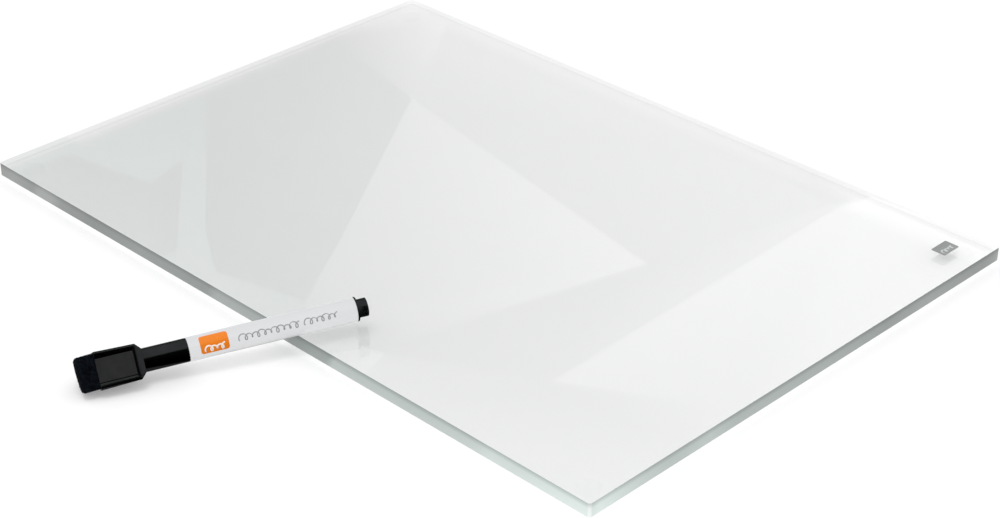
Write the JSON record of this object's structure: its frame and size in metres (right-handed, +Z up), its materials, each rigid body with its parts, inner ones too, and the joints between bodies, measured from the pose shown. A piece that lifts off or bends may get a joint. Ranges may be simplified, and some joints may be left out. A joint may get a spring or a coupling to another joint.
{
  "type": "acrylic desktop memo board",
  "caption": "Clear acrylic desktop memo board that lies flat on clear stick-on feet, with a capped dry-wipe marker that leans on its edge and has a felt eraser and a magnet in its cap.",
  "frame": {"origin": "on the desk, under the middle of the acrylic sheet", "axes": "+X to the reader's right across the sheet's short side, +Y away from the reader along its long side, +Z up"},
  "size_m": [0.2764, 0.297, 0.016],
  "materials": {
    "clear_acrylic": "polished clear acrylic sheet with polished edges",
    "clear_silicone": "clear soft silicone",
    "clear_glue": "clear adhesive film",
    "badge_print": "flat dark grey badge",
    "black_plastic": "moulded plastic with a soft gloss",
    "seal_plastic": "soft moulded seal",
    "magnet_strip": "matt rubber-bonded magnet",
    "black_felt": "dense pressed felt",
    "white_plastic": "glossy white extruded plastic",
    "holder_plastic": "moulded plastic",
    "nib_fibre": "ink-soaked fibre nib",
    "ink_fibre": "ink-soaked fibre rod",
    "clear_film": "thin clear film"
  },
  "bodies": {
    "board": {"acrylic_sheet": "clear_acrylic", "corner_badge": "badge_print", "foot_front_left": "clear_silicone", "foot_glue_front_left": "clear_glue", "foot_front_right": "clear_silicone", "foot_glue_front_right": "clear_glue", "foot_rear_left": "clear_silicone", "foot_glue_rear_left": "clear_glue", "foot_rear_right": "clear_silicone", "foot_glue_rear_right": "clear_glue"},
    "cap": {"cap_shell": "black_plastic", "cap_liner": "seal_plastic", "cap_magnet": "magnet_strip", "magnet_glue": "clear_glue", "eraser_felt": "black_felt", "eraser_glue": "clear_glue"},
    "marker": {"barrel": "white_plastic", "nib_holder": "holder_plastic", "nib": "nib_fibre", "ink_reservoir": "ink_fibre", "reservoir_film": "clear_film", "end_plug": "black_plastic"}
  },
  "joints": [
    {"name": "marker_lift", "type": "slide", "parent": "board", "child": "cap", "axis": [0, 0, 1], "range_m": [0, 0.12]},
    {"name": "cap_pull", "type": "slide", "parent": "cap", "child": "marker", "axis": [0.9007, -0.4296, 0.0654], "range_m": [0, 0.045]}
  ]
}
